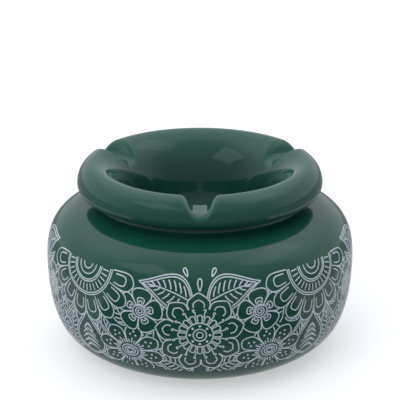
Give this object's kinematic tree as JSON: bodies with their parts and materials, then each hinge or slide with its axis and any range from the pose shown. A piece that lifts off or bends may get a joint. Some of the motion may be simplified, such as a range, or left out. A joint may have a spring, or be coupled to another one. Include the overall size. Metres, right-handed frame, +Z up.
{
  "type": "lidded ashtray",
  "caption": "Round glazed bowl with a short neck and a lift-off funnel lid with rests across its rolled rim, for ash and cigarette ends.",
  "frame": {"origin": "centre of the foot's underside, on the turning axis", "axes": "+Z up along the turning axis; one rest of the lid faces -Y; +X to the right seen from that side"},
  "size_m": [0.12, 0.12, 0.0745],
  "materials": {
    "bowl_glaze": "gloss",
    "lid_glaze": "gloss"
  },
  "bodies": {
    "bowl": {"bowl": "bowl_glaze"},
    "lid": {"funnel_lid": "lid_glaze"}
  },
  "joints": [
    {"name": "lid_lift", "type": "slide", "parent": "bowl", "child": "lid", "axis": [0, 0, 1], "range_m": [0, 0.048]}
  ]
}
